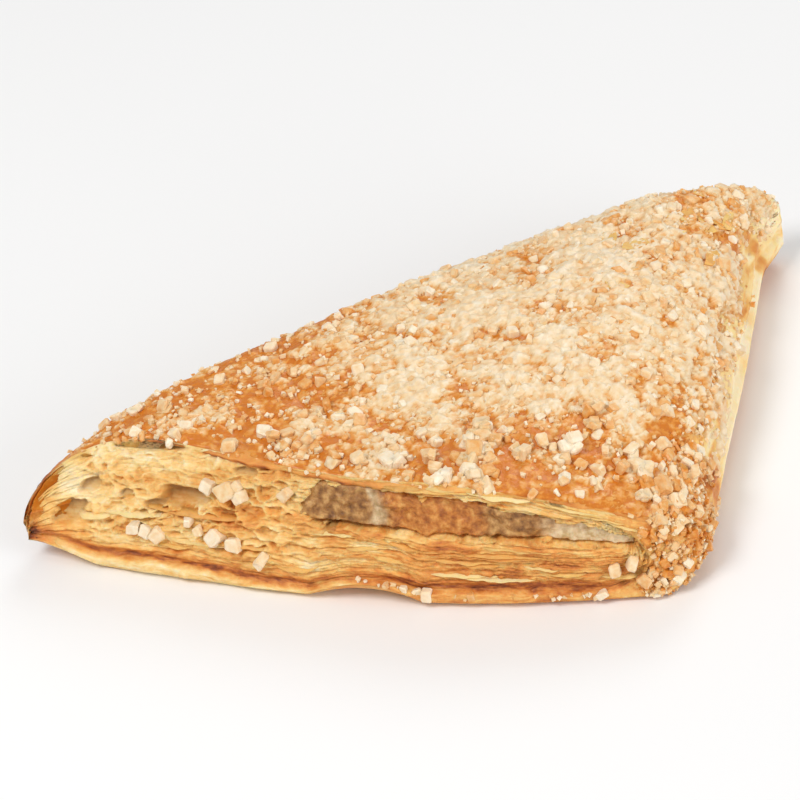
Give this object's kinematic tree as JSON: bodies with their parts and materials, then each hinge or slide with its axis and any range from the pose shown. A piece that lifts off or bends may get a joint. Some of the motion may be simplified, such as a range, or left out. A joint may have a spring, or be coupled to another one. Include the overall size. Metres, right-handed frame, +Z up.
{
  "type": "turnover pastry",
  "caption": "Triangular puff pastry turnover with a sugar crust, flaky cut edges and a fruit filling that shows at the cuts.",
  "frame": {"origin": "middle of the bounding box in plan, on the surface that the pastry lies on", "axes": "+Z up, +X along the front cut from the tip to the fold, +Y along the fold towards the back corner"},
  "size_m": [0.1228, 0.1096, 0.0264],
  "materials": {
    "crust": "baked puff pastry, golden to brown, with pale flaky leaves at the cuts",
    "filling": "moist cooked fruit filling, brown",
    "sugar": "coarse sugar grains, partly melted"
  },
  "bodies": {
    "root": {"pastry": "crust", "filling": "filling"}
  },
  "joints": []
}
